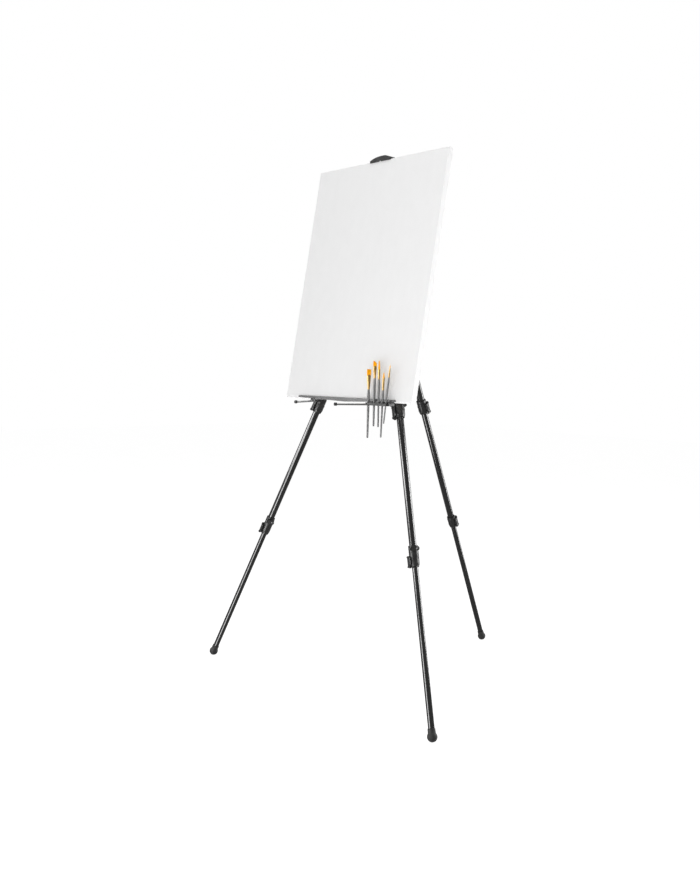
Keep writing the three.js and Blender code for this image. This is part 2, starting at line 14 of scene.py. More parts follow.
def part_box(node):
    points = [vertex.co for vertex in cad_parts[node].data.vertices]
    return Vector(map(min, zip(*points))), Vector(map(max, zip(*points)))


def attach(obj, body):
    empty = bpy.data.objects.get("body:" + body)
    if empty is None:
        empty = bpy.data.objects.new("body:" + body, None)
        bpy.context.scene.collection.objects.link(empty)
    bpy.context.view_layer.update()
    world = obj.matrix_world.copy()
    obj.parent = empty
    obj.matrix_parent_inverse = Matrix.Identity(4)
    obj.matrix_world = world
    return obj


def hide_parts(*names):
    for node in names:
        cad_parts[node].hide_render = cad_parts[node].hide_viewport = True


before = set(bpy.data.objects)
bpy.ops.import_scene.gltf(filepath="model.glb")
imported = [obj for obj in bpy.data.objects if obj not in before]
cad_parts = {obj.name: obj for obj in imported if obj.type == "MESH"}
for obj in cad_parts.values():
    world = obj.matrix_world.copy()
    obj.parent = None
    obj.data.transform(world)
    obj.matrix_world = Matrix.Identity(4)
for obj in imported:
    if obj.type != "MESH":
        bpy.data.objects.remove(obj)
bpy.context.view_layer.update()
MM = 0.001

# ---- sizes, as in the CAD -----------------------------------------------------------
PIVOT_REACH = 35
PIVOT_HEIGHT = 1342
FOOT_REACH = 603.4
FOOT_RADIUS = 15
FOOT_FLAT = 5.4                    # radius of the flat that it stands on
TO_UPPER_CLAMP = 467.5
TO_KNEE_CLAMP = 928
TUBE_OVERLAP = 60
UPPER_TUBE_START = 17              # below the pivot
TUBE_SEAT = 2                      # how far a tube reaches below its clamp's middle
TUBE_IN_FOOT = 1.5                 # and how far the lowest one reaches below its foot's middle
MAST_TUBE_TOP = 1402
MAST_TUBE_FOOT = PIVOT_HEIGHT - 60
MAST_ROD_TOP = 1640
MAST_ROD_FOOT = PIVOT_HEIGHT - 20
GAP = 0.3                          # between pieces that slide

# tubes: outer radius and wall
UPPER_TUBE = (13, 1.2)
MIDDLE_TUBE = (11.25, 1.05)
LOWER_TUBE = (9.5, 1)
MAST_TUBE = (11.25, 1.2)
MAST_ROD = (8, 1)

# clamps: outer radius and height
UPPER_SLEEVE = UPPER_TUBE[0] + 4
KNEE_SLEEVE = MIDDLE_TUBE[0] + 3.6
MAST_SLEEVE = MAST_TUBE[0] + 3.6
UPPER_CLAMP_HEIGHT = 38
FRONT_KNEE_HEIGHT = 64
REAR_KNEE_HEIGHT = 42
MAST_CLAMP_HEIGHT = 38
STOP_COLLAR = 12                   # the rear leg's collar, above its upper clamp

# levers: height, and how far their middle is above the clamp's
UPPER_LEVER = (36, 0)
FRONT_KNEE_LEVER = (32, -16)
REAR_KNEE_LEVER = (32, -2)
MAST_LEVER = (32, 0)
EAR_HEIGHT = 11
LEVER_OUT = 6                      # the lever's pin, out from the sleeve
LEVER_START = -50                  # the pin's place round the sleeve, in degrees
MAST_LEVER_TURN = 60
KNEE_BOLT_OUT = 5                  # the knee's bolt, out from the sleeve
KNEE_BOLT_HEIGHT = 20              # and above the clamp's middle

CANVAS_SIZE = (585, 800)
CANVAS_DEPTH = 20
CLOTH = 0.8                        # thickness
STRETCHER_WIDTH = 38
CANVAS_LEAN = math.radians(10.3)
CANVAS_FOOT = (-168, 945.3)        # y from the hub's axis, and height

SUPPORT_TURN = math.radians(24.5)
SUPPORT_HEIGHT = 936.2
SUPPORT_ROD = (3.25, 24, 213)      # radius, start and end along its axis
SUPPORT_SOCKET = (5.2, 19, 58)     # the same of the socket
SUPPORT_CAP_RADIUS = 5.2

HOLE_ROW = 16.9                    # from the brush holder's back edge to its holes
HOLDER_HEIGHTS = (933.6, 941.5)

AXIS_Y = sum(corner.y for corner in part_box("mast_tube")) / 2
FOOT_HEIGHT = math.sqrt(FOOT_RADIUS**2 - FOOT_FLAT**2)
LEG_RUN = FOOT_REACH - PIVOT_REACH
LEG_RISE = PIVOT_HEIGHT - FOOT_HEIGHT
LEG_LENGTH = math.hypot(LEG_RUN, LEG_RISE)
LEG_ANGLE = math.atan2(LEG_RUN, LEG_RISE)

# name, azimuth, and the turns of the levers and of the knee's bolt, in degrees
LEGS = (
    ("left", 210, 15, 105),
    ("right", 330, -105, -15),
    ("rear", 90, -45, None),
)


# ---- places -------------------------------------------------------------------------
def at(x=0, y=0, z=0):
    return Matrix.Translation(Vector((x, y, z)) * MM)


def turn(degrees, axis="Z"):
    return Matrix.Rotation(math.radians(degrees), 4, axis)


HUB = Matrix.Translation((0, AXIS_Y, 0))
CANVAS = HUB @ at(0, *CANVAS_FOOT) @ Matrix.Rotation(-CANVAS_LEAN, 4, "X")


def limb_place(azimuth):
    tilt = Matrix.Rotation(-LEG_ANGLE, 4, "Y")
    return HUB @ turn(azimuth) @ at(PIVOT_REACH, 0, PIVOT_HEIGHT) @ tilt


def support_place(azimuth):
    """Origin on the leg's axis, X out along the rod, Z up the leg."""
    outward = Vector((math.cos(math.radians(azimuth)), math.sin(math.radians(azimuth)), 0))
    side = math.copysign(1, outward.x)
    along = Vector((-side * math.sin(SUPPORT_TURN), -math.cos(SUPPORT_TURN), 0))
    reach = PIVOT_REACH + (PIVOT_HEIGHT - SUPPORT_HEIGHT) * math.tan(LEG_ANGLE)
    down = outward * math.sin(LEG_ANGLE) - Vector((0, 0, math.cos(LEG_ANGLE)))
    across = along.cross(down).normalized()
    up = along.cross(across)
    turned = Matrix((along, across, up)).transposed().to_4x4()
    spot = outward * reach + Vector((0, 0, SUPPORT_HEIGHT))
    return HUB @ at(*spot) @ turned


# ---- shapes: each is (points in millimetres, faces) ---------------------------------
def lathe(profile, segments=64):
    """A turned form about Z from (radius, z) points, closed on itself or on the axis."""
    ring_shaped = profile[0] == profile[-1]
    rows = profile[:-1] if ring_shaped else profile
    points, rings = [], []
    for r, z in rows:
        if r < 1e-6:
            rings.append([len(points)])
            points.append((0, 0, z))
            continue
        rings.append(range(len(points), len(points) + segments))
        for k in range(segments):
            angle = 2 * math.pi * k / segments
            points.append((r * math.cos(angle), r * math.sin(angle), z))
    faces = []
    pairs = list(zip(rings, rings[1:]))
    if ring_shaped:
        pairs.append((rings[-1], rings[0]))
    for low, high in pairs:
        for k in range(segments):
            n = (k + 1) % segments
            if len(low) == 1:
                faces.append((low[0], high[k], high[n]))
            elif len(high) == 1:
                faces.append((low[k], low[n], high[0]))
            else:
                faces.append((low[k], low[n], high[n], high[k]))
    return points, faces


def soften(profile, radius, steps=3):
    """Rounds the inner corners of a profile, and all of them where it closes on itself."""
    closed = profile[0] == profile[-1]
    rows = [Vector(p) for p in (profile[:-1] if closed else profile)]
    out = []
    for i, corner in enumerate(rows):
        if not closed and i in (0, len(rows) - 1):
            out.append(tuple(corner))
            continue
        before, after = rows[i - 1] - corner, rows[(i + 1) % len(rows)] - corner
        a = corner + before.normalized() * min(radius, before.length * 0.45)
        b = corner + after.normalized() * min(radius, after.length * 0.45)
        for k in range(steps + 1):
            t = k / steps
            out.append(tuple(a * (1 - t) ** 2 + corner * (2 * t * (1 - t)) + b * t * t))
    if closed:
        out.append(out[0])
    return out


def bar(radius, low, high, round_edge=0.4, segments=48):
    return lathe(soften([(0, low), (radius, low), (radius, high), (0, high)], round_edge), segments)


def pipe(outer, inner, low, high, round_edge=0.3, segments=64):
    corners = [(inner, low), (outer, low), (outer, high), (inner, high), (inner, low)]
    return lathe(soften(corners, round_edge), segments)


def block(x, y, z):
    points = [(i, j, k) for i in x for j in y for k in z]
    faces = [(0, 1, 3, 2), (4, 6, 7, 5), (0, 4, 5, 1), (2, 3, 7, 6), (0, 2, 6, 4), (1, 5, 7, 3)]
    return points, faces


def prism(outline, low, high):
    """An outline in X and Y, filled and raised from low to high."""
    n = len(outline)
    points = [(x, y, low) for x, y in outline] + [(x, y, high) for x, y in outline]
    faces = [tuple(range(n)), tuple(range(n, 2 * n))]
    faces += [(k, (k + 1) % n, n + (k + 1) % n, n + k) for k in range(n)]
    return points, faces


def loft(rings):
    """A closed form through rings that all have as many points."""
    n = len(rings[0])
    points = [p for ring in rings for p in ring]
    faces = [
        (a * n + k, a * n + (k + 1) % n, (a + 1) * n + (k + 1) % n, (a + 1) * n + k)
        for a in range(len(rings) - 1)
        for k in range(n)
    ]
    faces += [tuple(range(n)), tuple(range((len(rings) - 1) * n, len(rings) * n))]
    return points, faces


def arc(centre, radius, start, end, steps=8):
    angles = [math.radians(start + (end - start) * k / steps) for k in range(steps + 1)]
    return [(centre[0] + radius * math.cos(a), centre[1] + radius * math.sin(a)) for a in angles]


def moved(shape, place):
    """A shape put somewhere; place is in metres, as every Matrix here is."""
    points, faces = shape
    return [tuple(place @ (Vector(p) * MM) / MM) for p in points], faces


def curved_plate(radius, thickness, angles, heights, corner=0, recess=0):
    """A plate wrapped round Z between two angles, in degrees. corner rounds its far end, and
    recess sinks its outer face inside a rim."""
    low, high = heights
    middle, half = (low + high) / 2, (high - low) / 2
    first, last = (math.radians(a) for a in angles)
    across, up = 44, 28
    rim, slope = 2.6, 1.1          # the rim's width, and that of the step down from it
    points = []
    for layer in (1, -1):
        for i in range(across + 1):
            angle = first + (last - first) * i / across
            to_end = (last - angle) * radius
            short = max(0, corner - to_end)
            reach = half - corner + math.sqrt(max(0, corner**2 - short**2))
            for k in range(up + 1):
                z = reach * (2 * k / up - 1)
                edge = min(to_end, (angle - first) * radius, reach - abs(z))
                sunk = recess * min(1, max(0, (edge - rim) / slope)) if layer > 0 else 0
                out = radius + layer * thickness / 2 - sunk
                points.append((out * math.cos(angle), out * math.sin(angle), middle + z))
    row, inside = up + 1, (across + 1) * (up + 1)
    faces = []
    for base in (0, inside):
        for i in range(across):
            for k in range(up):
                a = base + i * row + k
                faces.append((a, a + row, a + row + 1, a + 1))
    for i in range(across):
        for k in (0, up):
            a = i * row + k
            faces.append((a, a + inside, a + inside + row, a + row))
    for k in range(up):
        for a in (k, across * row + k):
            faces.append((a, a + 1, a + inside + 1, a + inside))
    return points, faces


# ---- objects ------------------------------------------------------------------------
def build(name, shapes, place, material, body, replaces=(), smooth_angle=38):
    """One object from several closed shapes, riding on a CAD body."""
    mesh = bpy.data.meshes.new(name)
    points, faces = [], []
    for shape_points, shape_faces in shapes:
        start = len(points)
        points += [tuple(c * MM for c in p) for p in shape_points]
        faces += [tuple(start + i for i in face) for face in shape_faces]
    mesh.from_pydata(points, [], faces)
    work = bmesh.new()
    work.from_mesh(mesh)
    bmesh.ops.recalc_face_normals(work, faces=work.faces)
    work.to_mesh(mesh)
    work.free()
    mesh.shade_smooth()
    mesh.set_sharp_from_angle(angle=math.radians(smooth_angle))
    made = bpy.data.objects.new(name, mesh)
    bpy.context.scene.collection.objects.link(made)
    made.matrix_world = place
    mesh.materials.append(material)
    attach(made, body)
    if replaces:
        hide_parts(*replaces)
    return made


def bevel(made, width, segments=3, angle=35):
    """Rounded edges, with the shading of flat faces kept flat."""
    cut = made.modifiers.new("bevel", "BEVEL")
    cut.width = width * MM
    cut.segments = segments
    cut.limit_method = "ANGLE"
    cut.angle_limit = math.radians(angle)
    cut.use_clamp_overlap = True
    cut.harden_normals = True


def carry_over(node, material, width=0.5, angle=40):
    """A CAD node shown as it is, with softened edges and a material."""
    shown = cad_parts[node]
    shown.data.materials.clear()
    shown.data.materials.append(material)
    shown.data.shade_smooth()
    shown.data.set_sharp_from_angle(angle=math.radians(angle))
    bevel(shown, width, 2, angle)


# ---- materials ----------------------------------------------------------------------
class Paint:
    """A Principled material with helpers for layered procedural detail. Its values are named
    as the shader's inputs are, with _ for a space."""

    def __init__(self, name, **values):
        self.material = bpy.data.materials.new(name)
        self.material.use_nodes = True
        tree = self.material.node_tree
        self.nodes, self.links = tree.nodes, tree.links
        self.shader = self.nodes["Principled BSDF"]
        self.where = self.nodes.new("ShaderNodeTexCoord").outputs["Object"]
        self.height = None
        for key, value in values.items():
            self.shader.inputs[key.replace("_", " ")].default_value = value

    def add(self, kind, inputs=None, **settings):
        node = self.nodes.new(kind)
        for key, value in settings.items():
            setattr(node, key, value)
        for key, value in (inputs or {}).items():
            if isinstance(value, bpy.types.NodeSocket):
                self.links.new(value, node.inputs[key])
            else:
                node.inputs[key].default_value = value
        return node

    def stretched(self, scale):
        inputs = {"Vector": self.where, "Scale": scale}
        return self.add("ShaderNodeMapping", inputs).outputs["Vector"]

    def noise(self, scale, detail=3, stretch=(1, 1, 1), roughness=0.55, distortion=0):
        inputs = {
            "Vector": self.stretched(stretch),
            "Scale": scale,
            "Detail": detail,
            "Roughness": roughness,
            "Distortion": distortion,
        }
        return self.add("ShaderNodeTexNoise", inputs).outputs["Fac"]

    def waves(self, scale, stretch=(1, 1, 1), direction="X", distortion=0, detail=2):
        inputs = {
            "Vector": self.stretched(stretch),
            "Scale": scale,
            "Distortion": distortion,
            "Detail": detail,
        }
        made = self.add("ShaderNodeTexWave", inputs, bands_direction=direction)
        return made.outputs["Fac"]

    def ramp(self, value, *stops):
        made = self.add("ShaderNodeValToRGB", {"Fac": value})
        while len(made.color_ramp.elements) < len(stops):
            made.color_ramp.elements.new(0.5)
        for element, (spot, colour) in zip(made.color_ramp.elements, stops):
            element.position = spot
            element.color = (*colour, 1)
        return made.outputs["Color"]

    def spread(self, value, low, high, start=0.0, end=1.0):
        inputs = {
            "Value": value,
            "From Min": start,
            "From Max": end,
            "To Min": low,
            "To Max": high,
        }
        return self.add("ShaderNodeMapRange", inputs).outputs["Result"]

    def mix(self, share, a, b, blend="MIX"):
        a, b = ((*value, 1) if isinstance(value, tuple) else value for value in (a, b))
        inputs = {0: share, 6: a, 7: b}
        return self.add("ShaderNodeMix", inputs, data_type="RGBA", blend_type=blend).outputs[2]

    def maths(self, operation, a, b):
        return self.add("ShaderNodeMath", {0: a, 1: b}, operation=operation).outputs[0]

    def set(self, key, socket):
        self.links.new(socket, self.shader.inputs[key])

    def bump(self, height, strength, distance):
        """Adds a layer of relief; distance is in millimetres."""
        inputs = {"Height": height, "Strength": strength, "Distance": distance * MM}
        if self.height is not None:
            inputs["Normal"] = self.height
        self.height = self.add("ShaderNodeBump", inputs).outputs["Normal"]
        self.links.new(self.height, self.shader.inputs["Normal"])
        return self


def grey(value, warm=0.0):
    return (value * (1 + warm), value, value * (1 - warm))


def anodised_black():
    """Drawn tube, anodised black: fine lines along Z and a few rubbed patches."""
    paint = Paint("anodised_black", Metallic=0.1, Roughness=0.2, Coat_Weight=0.8,
                  Coat_Roughness=0.16, Specular_IOR_Level=0.7)
    lines = paint.noise(900, 3, (1, 1, 0.012))
    patches = paint.noise(9, 4, (1, 1, 0.4))
    tone = paint.ramp(patches, (0.3, grey(0.007)), (0.62, grey(0.01)), (0.8, grey(0.015)))
    drawn = paint.ramp(lines, (0.35, grey(0.006)), (0.7, grey(0.016)))
    paint.set("Base Color", paint.mix(0.2, tone, drawn))
    worn = paint.maths("ADD", paint.spread(lines, -0.02, 0.03), paint.spread(patches, 0.14, 0.27))
    paint.set("Roughness", worn)
    return paint.bump(lines, 0.05, 0.02).material


def moulded(name, tone, rough, grain=2600):
    """Moulded nylon with a fine spark-eroded grain, slightly polished where it is handled."""
    paint = Paint(name, Roughness=rough, Coat_Weight=0.08, Coat_Roughness=0.3,
                  Specular_IOR_Level=0.55)
    fine = paint.noise(grain, 2)
    broad = paint.noise(60, 5)
    colour = paint.ramp(broad, (0.3, grey(tone * 0.8)), (0.55, grey(tone)), (0.8, grey(tone * 1.35)))
    paint.set("Base Color", colour)
    paint.set("Roughness", paint.spread(broad, rough - 0.09, rough + 0.12, 0.25, 0.75))
    return paint.bump(broad, 0.08, 0.2).bump(fine, 0.25, 0.05).material


def soft_rubber():
    paint = Paint("soft_rubber", Roughness=0.7, Sheen_Weight=0.15)
    fine = paint.noise(1800, 3)
    dust = paint.noise(70, 6)
    tone = paint.ramp(dust, (0.35, grey(0.011)), (0.6, grey(0.017)), (0.8, grey(0.035, 0.05)))
    paint.set("Base Color", tone)
    paint.set("Roughness", paint.spread(dust, 0.5, 0.78, 0.3, 0.7))
    return paint.bump(dust, 0.12, 0.25).bump(fine, 0.3, 0.06).material


def steel(name, tone, rough, direction=(1, 1, 0.02)):
    """Plated or drawn steel with lines along one axis."""
    paint = Paint(name, Metallic=1.0, Roughness=rough)
    lines = paint.noise(1400, 3, direction)
    broad = paint.noise(45, 4)
    colour = paint.ramp(broad, (0.3, grey(tone * 0.82)), (0.7, grey(tone)))
    drawn = paint.ramp(lines, (0.3, grey(tone * 0.7)), (0.7, grey(tone)))
    paint.set("Base Color", paint.mix(0.3, colour, drawn))
    paint.set("Roughness", paint.spread(lines, rough - 0.06, rough + 0.1))
    return paint.bump(lines, 0.15, 0.02).material


def powder_coat(name, tone):
    """Satin black powder coat with its slight orange peel."""
    paint = Paint(name, Roughness=0.4, Coat_Weight=0.2, Coat_Roughness=0.25)
    peel = paint.noise(700, 2)
    broad = paint.noise(18, 5)
    colour = paint.ramp(broad, (0.3, grey(tone * 0.7)), (0.6, grey(tone)), (0.8, grey(tone * 1.4)))
    paint.set("Base Color", colour)
    paint.set("Roughness", paint.spread(broad, 0.32, 0.5, 0.25, 0.75))
    return paint.bump(peel, 0.3, 0.08).material


def primed_canvas():
    """Woven cotton under white primer: a crossed weave, thick threads and brushed primer."""
    paint = Paint("primed_canvas", Roughness=0.82, Sheen_Weight=0.08)
    warp = paint.waves(260, direction="X", distortion=0.6)
    weft = paint.waves(260, direction="Z", distortion=0.6)
    weave = paint.maths("MULTIPLY", warp, weft)
    slubs = paint.noise(900, 2, (0.06, 1, 1))
    brushed = paint.noise(34, 5, (1, 1, 0.5))
    tone = paint.ramp(brushed, (0.3, grey(0.885)), (0.7, grey(0.905)))
    # painted shade: the hollows of the weave are darkened in the colour, on top of the weave's own
    # bump
    shade = paint.ramp(weave, (0.0, grey(0.95)), (0.35, grey(1.0)))
    paint.set("Base Color", paint.mix(1.0, tone, shade, "MULTIPLY"))
    paint.set("Roughness", paint.spread(brushed, 0.74, 0.9))
    return paint.bump(weave, 0.35, 0.12).bump(slubs, 0.25, 0.1).bump(brushed, 0.06, 0.3).material


def planed_pine(name, along):
    """Pine with its grain along X or Z of the canvas's frame."""
    paint = Paint(name, Roughness=0.62)
    lying = along == "X"
    stretch = (0.05, 1, 1) if lying else (1, 1, 0.05)
    broad = paint.noise(26, 4, stretch, distortion=1.2)
    rings = paint.waves(34, stretch, "Z" if lying else "X", 5, 3)
    fibres = paint.noise(520, 4, (0.03, 1, 1) if lying else (1, 1, 0.03))
    wood = paint.ramp(
        rings, (0.0, (0.5, 0.3, 0.14)), (0.35, (0.66, 0.45, 0.25)), (0.9, (0.76, 0.57, 0.36))
    )
    pale = paint.mix(paint.spread(broad, 0.1, 0.6), wood, (0.74, 0.55, 0.34))
    streaks = paint.ramp(fibres, (0.35, (0.4, 0.24, 0.11)), (0.6, (0.8, 0.62, 0.42)))
    paint.set("Base Color", paint.mix(0.18, pale, streaks))
    paint.set("Roughness", paint.spread(rings, 0.52, 0.72))
    return paint.bump(rings, 0.12, 0.1).bump(fibres, 0.25, 0.08).material


def handle_lacquer():
    """Grey lacquered wood, a little uneven, with the faint grain under it."""
    paint = Paint("handle_lacquer", Roughness=0.3, Coat_Weight=0.6, Coat_Roughness=0.1)
    grain = paint.noise(420, 3, (1, 1, 0.04))
    broad = paint.noise(40, 3, (1, 1, 0.3))
    tone = paint.ramp(broad, (0.3, grey(0.11)), (0.7, grey(0.15)))
    fibres = paint.ramp(grain, (0.4, grey(0.08)), (0.65, grey(0.18)))
    paint.set("Base Color", paint.mix(0.25, tone, fibres))
    paint.set("Roughness", paint.spread(broad, 0.22, 0.4))
    return paint.bump(grain, 0.12, 0.04).material


def gilt_ferrule():
    """Brass-plated ferrule with rolled lines round it."""
    paint = Paint("gilt_ferrule", Metallic=1.0, Roughness=0.24)
    lines = paint.noise(1500, 3, (0.05, 0.05, 1))
    broad = paint.noise(120, 4)
    tone = paint.ramp(broad, (0.3, (0.5, 0.3, 0.09)), (0.7, (0.72, 0.5, 0.2)))
    paint.set("Base Color", tone)
    paint.set("Roughness", paint.spread(lines, 0.26, 0.42))
    return paint.bump(lines, 0.15, 0.02).material


def dyed_bristle():
    """Orange nylon filaments, no two strands quite alike."""
    paint = Paint("dyed_bristle", Roughness=0.6, Specular_IOR_Level=0.25)
    strands = paint.noise(1500, 3, (1, 1, 0.02))
    broad = paint.noise(90, 3)
    tone = paint.ramp(
        strands, (0.3, (0.95, 0.4, 0.0)), (0.55, (1.0, 0.5, 0.0)), (0.8, (1.0, 0.6, 0.01))
    )
    paint.set("Base Color", paint.mix(paint.spread(broad, 0.0, 0.4), tone, (1.0, 0.52, 0.0)))
    paint.set("Roughness", paint.spread(strands, 0.5, 0.7))
    return paint.bump(strands, 0.4, 0.06).material


TUBE = anodised_black()
CLAMP = moulded("clamp_nylon", 0.016, 0.34)
LEVER = moulded("lever_nylon", 0.022, 0.3)
RUBBER = soft_rubber()
DARK_STEEL = steel("blackened_steel", 0.16, 0.3)
BRIGHT_STEEL = steel("drawn_steel", 0.72, 0.2, (0.02, 1, 1))
LEDGE = powder_coat("powder_coat", 0.03)
HOLDER = powder_coat("dark_powder_coat", 0.009)
CLOTH_WHITE = primed_canvas()
PINE_X = planed_pine("pine_across", "X")
PINE_Z = planed_pine("pine_upright", "Z")
HANDLE = handle_lacquer()
FERRULE = gilt_ferrule()
BRISTLE = dyed_bristle()


# ---- clamps and levers --------------------------------------------------------------
BORE_STEP = -2.3                   # where a clamp's wide bore ends, from its middle
KNUCKLE_RADIUS = 3.6
PIN_RADIUS = 2
PIN_STANDS_OUT = 0.15
PLATE_OUT = 6.2                    # the middle of the lever's wall, out from the sleeve
PLATE_WALL, PLATE_CORNER, PLATE_RECESS = 3.4, 6.5, 1.3
ARM_WALL = 3.2
ARM_REACH = 4.4                    # from the pin to where the full plate starts
EAR_GAP = 0.4


def pin_spot(sleeve):
    reach, angle = sleeve + LEVER_OUT, math.radians(LEVER_START)
    return reach * math.cos(angle), reach * math.sin(angle)


def clamp_shapes(sleeve, height, wide, narrow, lever_middle):
    """A sleeve that tapers at its foot, with a groove under its rim, and the lever's ear."""
    half = height / 2
    foot, groove = sleeve - 2, sleeve - 0.7
    body = [(narrow, -half), (foot, -half), (foot, -half + 2), (sleeve, -half + 9),
            (sleeve, half - 5.5), (groove, half - 5), (groove, half - 4.2), (sleeve, half - 3.7),
            (sleeve, half), (wide, half), (wide, BORE_STEP), (narrow, BORE_STEP),
            (narrow, -half)]
    shapes = [lathe(soften(body, 0.7), 72)]
    pin_x, pin_y = pin_spot(sleeve)
    ear_half = EAR_HEIGHT / 2
    low, high = lever_middle - ear_half, lever_middle + ear_half
    arm = block((sleeve - 1.5, sleeve + LEVER_OUT), (-3.3, 3.3), (low, high))
    shapes.append(moved(arm, turn(LEVER_START)))
    shapes.append(moved(bar(KNUCKLE_RADIUS, low, high, 0.5, 32), at(pin_x, pin_y, 0)))
    return shapes


def ribs(sleeve, heights, start, end, count):
    """Short grip ribs down the back of a sleeve."""
    shapes = []
    for k in range(count):
        angle = start + (end - start) * k / (count - 1)
        rib = block((sleeve - 0.8, sleeve + 0.25), (-0.7, 0.7), heights)
        shapes.append(moved(rib, turn(angle)))
    return shapes


def lever_shapes(sleeve, size):
    """The plate with its rim, two arms beside the ear, their knuckles and the finger lip."""
    height, middle = size
    low, high = middle - height / 2, middle + height / 2
    pin_x, pin_y = pin_spot(sleeve)
    half_gap = EAR_HEIGHT / 2 + EAR_GAP
    radius = sleeve + PLATE_OUT
    start = LEVER_START + math.degrees(ARM_REACH / (sleeve + LEVER_OUT))
    plate = (start, -LEVER_START)
    shapes = [curved_plate(radius, PLATE_WALL, plate, (low, high), PLATE_CORNER, PLATE_RECESS)]
    for near, far in ((low, middle - half_gap), (middle + half_gap, high)):
        shapes.append(curved_plate(radius, ARM_WALL, (LEVER_START, start + 3), (near, far)))
        knuckle = bar(KNUCKLE_RADIUS, near, far, 0.5, 32)
        shapes.append(moved(knuckle, at(pin_x, pin_y, 0)))
    lip = block((sleeve + 4.5, sleeve + 9.4), (-0.9, 0.9), (middle - 7, middle + 7))
    shapes.append(moved(lip, turn(-LEVER_START - 5)))
    return shapes


def pin_shapes(sleeve, size):
    height, middle = size
    pin_x, pin_y = pin_spot(sleeve)
    half = height / 2 + PIN_STANDS_OUT
    pin = bar(PIN_RADIUS, middle - half, middle + half, 0.3, 24)
    return [moved(pin, at(pin_x, pin_y, 0))]


def screw_shapes(sleeve, height):
    """A screw head with a round socket, in the back of the sleeve."""
    head = soften([(0, 1.1), (1.3, 1.1), (1.3, 2.4), (2.9, 2.4), (2.9, 0), (0, 0)], 0.2)
    place = turn(180) @ at(sleeve - 1.6, 0, height) @ turn(90, "Y")
    return [moved(lathe(head, 32), place)]


def clamp_and_lever(name, place, body, lever_body, sleeve, height, bores, lever_size, extra=()):
    shapes = clamp_shapes(sleeve, height, *bores, lever_size[1])
    shapes += ribs(sleeve, (-height / 2 + 10, height / 2 - 7), 130, 250, 9)
    shapes += extra
    made = build(f"{name}_clamp", shapes, place, CLAMP, body, [f"{name}_clamp"])
    bevel(made, 0.35, 2)
    made = build(
        f"{name}_lever", lever_shapes(sleeve, lever_size), place, LEVER, lever_body,
        [f"{name}_lever"], 50,
    )
    bevel(made, 0.7, 3, 50)
    build(f"{name}_lever_pin", pin_shapes(sleeve, lever_size), place, DARK_STEEL, lever_body)
    build(f"{name}_screw", screw_shapes(sleeve, height / 2 - 10), place, DARK_STEEL, body)


# ---- legs ---------------------------------------------------------------------------
LUG_HALF_WIDTH, LUG_HALF_HEIGHT = 8, 7
KNOB_RIBS = 12
FOOT_COLLAR = (11.8, 23)           # radius where the ball meets it, and its top


def knee_lug(sleeve, angle):
    """The block on the clamp's side that the cross bolt goes through."""
    heights = (KNEE_BOLT_HEIGHT - LUG_HALF_HEIGHT, KNEE_BOLT_HEIGHT + LUG_HALF_HEIGHT)
    lug = block((sleeve - 6, sleeve + 8), (-LUG_HALF_WIDTH, LUG_HALF_WIDTH), heights)
    return [moved(lug, turn(angle))]


def knee_bolt_shapes(sleeve):
    """A cross bolt with a domed, grooved head and, at its other end, a round ribbed knob."""
    near = LUG_HALF_WIDTH + 0.3
    head = [(0, -near - 4.5), (1.6, -near - 4.5), (1.6, -near - 2.6), (2.2, -near - 2.6),
            (2.6, -near - 4.4), (4.6, -near - 3), (5, -near), (2.6, -near), (2.6, near)]
    knob = [(4.4, near), (5.2, near + 1.2), (6, near + 2.5), (6, near + 6), (4.8, near + 8.2),
            (2.4, near + 9.4), (0, near + 9.6)]
    place = at(sleeve + KNEE_BOLT_OUT, 0, KNEE_BOLT_HEIGHT) @ turn(-90, "X")
    shapes = [moved(lathe(soften(head + knob, 0.5), 48), place)]
    for k in range(KNOB_RIBS):
        rib = block((5.7, 6.25), (-0.5, 0.5), (near + 2.6, near + 6))
        shapes.append(moved(rib, place @ turn(360 / KNOB_RIBS * k)))
    return shapes


def foot_profile():
    """A rubber ball with a waist and a ringed collar up the tube."""
    bore = LOWER_TUBE[0] + GAP
    neck, top = FOOT_COLLAR
    sweep = math.pi - math.asin(neck / FOOT_RADIUS)
    profile = [(0, -FOOT_RADIUS)]
    steps = 22
    for i in range(1, steps + 1):
        angle = -math.pi / 2 + sweep * i / steps
        profile.append((FOOT_RADIUS * math.cos(angle), FOOT_RADIUS * math.sin(angle)))
    rings = [(11.7, 13), (11.7, 15), (11.1, 15.5), (11.1, 16.3), (11.6, 16.8), (11.5, 18.8),
             (10.9, 19.3), (10.9, 20.1), (11.4, 20.6), (11.2, 22.6), (10.9, top)]
    profile += soften(rings, 0.35)
    return profile + [(bore, top), (bore, -2), (0, -2)]


def build_foot(name, place):
    """A foot along the leg, with what would reach below the floor pressed flat on it."""
    spot = place @ at(0, 0, -LEG_LENGTH)
    points, faces = lathe(foot_profile(), 72)
    world = [spot @ (Vector(p) * MM) for p in points]
    level = [(p.x / MM, p.y / MM, max(p.z, 0) / MM) for p in world]
    build(f"{name}_leg_foot", [(level, faces)], Matrix.Identity(4), RUBBER,
          f"{name}_leg_lower", [f"{name}_leg_foot"])


def build_tube(name, size, low, high, place, body):
    outer, wall = size
    shapes = [pipe(outer, outer - wall, low, high, 0.35, 72)]
    build(name, shapes, place, TUBE, body, [name])


def build_upper_clamp(name, place, lever_turn, has_collar):
    bores = (UPPER_TUBE[0] + GAP, MIDDLE_TUBE[0] + GAP)
    top = UPPER_CLAMP_HEIGHT / 2
    collar = pipe(UPPER_SLEEVE, bores[0], top - 1, top + STOP_COLLAR, 0.6)
    clamp_and_lever(
        f"{name}_leg_upper", place @ at(0, 0, -TO_UPPER_CLAMP) @ turn(lever_turn),
        f"{name}_leg_upper", f"{name}_leg_upper_lever", UPPER_SLEEVE, UPPER_CLAMP_HEIGHT,
        bores, UPPER_LEVER, [collar] if has_collar else [],
    )


